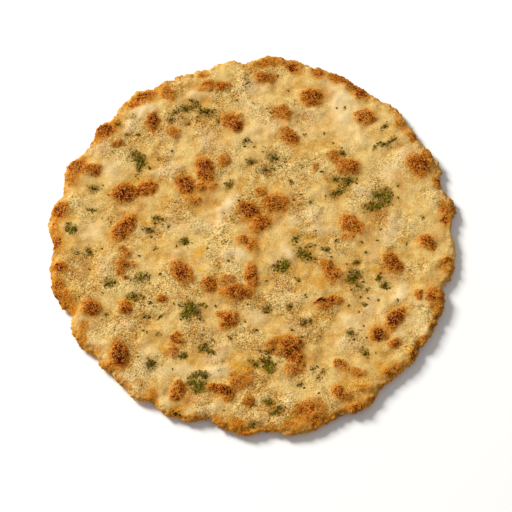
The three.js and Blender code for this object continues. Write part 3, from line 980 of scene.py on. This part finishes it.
# %% The grains and specks of the dough
def speckled(f, dough):
    """The dough's colour with its light and scorched grains and the stain of the herbs."""
    dashes = f.grain(1.1, 1, 0.5, 3.0).above(0.58, 0.7)
    # More olive and scorched specks go into the hollows too, as painted shade.
    dust_and_hollow_shade = (f.stain * 0.7 + f.middling * f.granular * 0.6 + f.hollow_shade * 0.15).above(0, 0.9)
    leafy = (f.stain + (f.tiny - 0.5) * 1.1 + (f.fine - 0.5) * 1.6).above(0.5, 0.9)
    scorched = (1 - f.tiny).above(0.8, 0.88)
    dough = f.mix(dough, RICE, f.tiny.above(0.8, 0.9) * f.grainy * 0.22)
    dough = f.mix(dough, OLIVE, f.stain * 0.6 + dashes * (dust_and_hollow_shade * 0.5 + f.grainy * 0.3))
    dough = f.mix(dough, SCORCHED, scorched * (dust_and_hollow_shade * 0.5 + f.grainy * 0.1))
    return f.mix(dough, DARK_HERB, leafy * f.stain.above(0.15, 0.5) * 0.8)


def lit_by_grain(f, dough):
    """The colour scaled a little up or down by each grain, and far down by a few sooty ones."""
    sooty = (1 - f.tiny) ** 2
    change = 0.29 - sooty * 0.95 + (f.fine.above(0.3, 0.7) - 0.5) * 0.3 + (f.wisps - 0.5) * 0.12
    return f.node("VectorMath", {"operation": "SCALE"}, {0: dough, "Scale": change * f.grainy + 1})


# %% [markdown]
# ## The browned crust
# On the real crust each grain browns by itself, so the painted heat is broken up by two noises and
# by the tiny grains before it picks its colour from the ramp. The rim is fried to gold where it
# isn't dark, single grains get a painted highlight, and the underside gets griddle marks.

# %% The browned crust
GRIDDLE_MARK = 10


def heat_of(f):
    """How far each place was toasted, and that figure made ragged by the lumps of the crust."""
    spots = f.grain(GRIDDLE_MARK, 2, 0.45).above(0.48, 0.72) * f.painted("underside")
    heat = f.node("Math", {"operation": "MAXIMUM"}, {0: f.toast, 1: spots * 0.7})
    uneven = (f.grain(2.6, 3) - 0.5) * 0.9 + (f.fine - 0.5) * 0.4
    return heat, heat + uneven * heat.above(0, 0.3)


def browned(f, dough, heat, ragged):
    """The dough's colour with the browned crust over it."""
    grit = ((f.tiny - 0.5) * 0.9 + (f.fine - 0.5) * 0.15) * heat.above(0.02, 0.3)
    crust = f.node("ValToRGB", {"stops": BROWNING}, {"Fac": ragged + grit})
    crust = f.mix(crust, FRIED, f.edge * (1 - ragged.above(0.3, 0.75)) * 0.7)
    # Painted highlight: single grains of the crust lightened as if they caught the light.
    crust = f.mix(crust, GRAIN_HIGHLIGHT, f.tiny.above(0.82, 0.9) * 0.6)
    return f.mix(dough, crust, (ragged + grit * 0.9).above(0.05, 0.5))


# %% [markdown]
# ## The relief, and all parts together
# What is too fine for the mesh is a bump from the same noises as the colour, with pebbles on the
# toasted crust. The dough is matt, and a little smoother where it browned.

# %% The finish of the baked dough
BUMP_HEIGHT = 0.4 * MM
PEBBLE = 0.6


def relief_of(f):
    """The height of the crumb, the finest grain and the pebbled crust, for the bump."""
    crumb = (f.fine * 0.6 + f.wisps * 0.6) * f.grainy + f.grain(0.45, 1) * 0.2
    return crumb + (1 - f.cells(PEBBLE)) * f.toast.above(0.1, 0.5) * 0.3


def baked_dough():
    """The finish of the whole bread: cream crumb, gold edge, browned blisters, griddled base."""
    f = BakedDough()
    heat, ragged = heat_of(f)
    dough = lit_by_grain(f, speckled(f, soft_colours(f)))
    bump = f.node("Bump", {}, {"Strength": 1.0, "Distance": BUMP_HEIGHT, "Height": relief_of(f)})
    f.set(Base_Color=browned(f, dough, heat, ragged), Normal=bump, Specular_IOR_Level=0.04,
          Roughness=0.75 - ragged.above(0.2, 0.8) * 0.2)
    return f.material


bread.data.materials.append(baked_dough())
print("nodes in the dough's finish:", len(bread.data.materials[0].node_tree.nodes))

# %% [markdown]
# ## The finish of the herbs
# Baked parsley is dark, dull green, nearly black where it dried and fresher where it lay thick.
# Each bit has its own shade stored on it, and fine noise mottles it like wilted leaf.

# %% The finish of the herbs
DRY_GREEN = shade(60, 46, 4)
LEAF_GREEN = shade(102, 88, 8)
FRESH_GREEN = shade(150, 138, 34)


def chopped_herb():
    """The finish of the bits of herb, from dried dark to fresh green."""
    f = Finish("chopped_herb")
    green, mottle = f.painted("green"), f.grain(0.4, 2)
    tone = green + (mottle - 0.5) * 0.7
    colour = f.mix(DRY_GREEN, LEAF_GREEN, tone.above(0.05, 0.45))
    colour = f.mix(colour, FRESH_GREEN, tone.above(0.45, 1.0))
    bump = f.node("Bump", {}, {"Strength": 0.4, "Distance": 0.1 * MM, "Height": f.grain(0.3, 2)})
    f.set(Base_Color=colour, Roughness=0.7 - mottle * 0.2, Normal=bump, Specular_IOR_Level=0.05)
    return f.material


herbs.data.materials.clear()
herbs.data.materials.append(chopped_herb())
print("nodes in the herbs' finish:", len(herbs.data.materials[0].node_tree.nodes))

# %% Put the bread in the frame
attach(bread, "root")
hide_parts("flatbread")
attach(herbs, "root")
